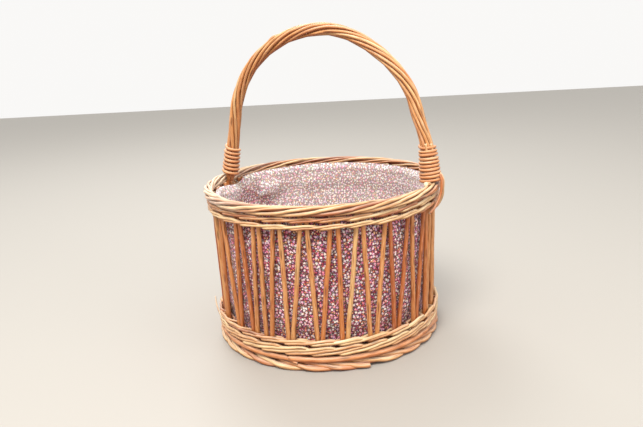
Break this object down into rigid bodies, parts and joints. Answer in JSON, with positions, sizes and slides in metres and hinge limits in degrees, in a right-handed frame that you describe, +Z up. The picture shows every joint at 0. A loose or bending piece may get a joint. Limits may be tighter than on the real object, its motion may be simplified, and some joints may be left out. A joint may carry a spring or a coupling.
{
  "type": "sewing basket",
  "caption": "Round willow sewing basket with open fitched sides, rolled rim and foot, a fixed roped bow handle, and a printed cotton lining.",
  "frame": {"origin": "on the table, under the middle of the basket", "axes": "+Z up through the middle of the basket; the handle's plane is turned 22 degrees clockwise from +X, seen from above"},
  "size_m": [0.29, 0.29, 0.372],
  "materials": {
    "willow_brown": "buff willow, brown, satin",
    "willow_pale": "buff willow, pale honey, satin",
    "willow_rust": "buff willow, orange, satin",
    "lining_cloth": "cotton lawn with a small allover flower print",
    "thread": "cotton thread"
  },
  "bodies": {
    "root": {"base_sticks_split": "willow_brown", "base_sticks_through": "willow_pale", "base_weave": "willow_pale", "foot_border": "willow_pale", "foot_wale_1": "willow_pale", "foot_wale_2": "willow_pale", "foot_wale_3": "willow_pale", "foot_wale_4": "willow_pale", "foot_wale_5": "willow_pale", "handle_bow": "willow_rust", "handle_lap_left": "willow_brown", "handle_lap_right": "willow_brown", "handle_rope_1": "willow_pale", "handle_rope_2": "willow_brown", "handle_rope_3": "willow_pale", "handle_rope_4": "willow_brown", "handle_rope_5": "willow_pale", "handle_rope_6": "willow_brown", "handle_rope_7": "willow_pale", "handle_rope_8": "willow_brown", "handle_tail": "willow_rust", "kick_rod": "willow_rust", "lining_base": "lining_cloth", "lining_hem": "lining_cloth", "lining_thread": "thread", "lining_wall": "lining_cloth", "rim_border": "willow_pale", "rod_tip": "willow_pale", "stake_pair_01": "willow_brown", "stake_pair_02": "willow_brown", "stake_pair_03": "willow_brown", "stake_pair_04": "willow_brown", "stake_pair_05": "willow_brown", "stake_pair_06": "willow_brown", "stake_pair_07": "willow_brown", "stake_pair_08": "willow_brown", "stake_pair_09": "willow_brown", "stake_pair_10": "willow_brown", "stake_pair_11": "willow_brown", "stake_pair_12": "willow_brown", "stake_pair_13": "willow_brown", "stake_pair_14": "willow_brown", "stake_pair_15": "willow_brown", "stake_pair_16": "willow_brown", "stake_pair_17": "willow_brown", "stake_pair_18": "willow_brown", "stake_pair_19": "willow_brown", "stake_pair_20": "willow_brown", "stake_pair_21": "willow_brown", "stake_pair_22": "willow_brown", "stake_pair_23": "willow_brown", "stake_pair_24": "willow_brown", "stake_pair_25": "willow_brown", "stake_pair_26": "willow_brown", "stake_pair_27": "willow_brown", "stake_pair_28": "willow_brown", "top_wale_1": "willow_pale", "top_wale_2": "willow_pale", "top_wale_3": "willow_pale", "top_wale_4": "willow_pale"}
  },
  "joints": []
}
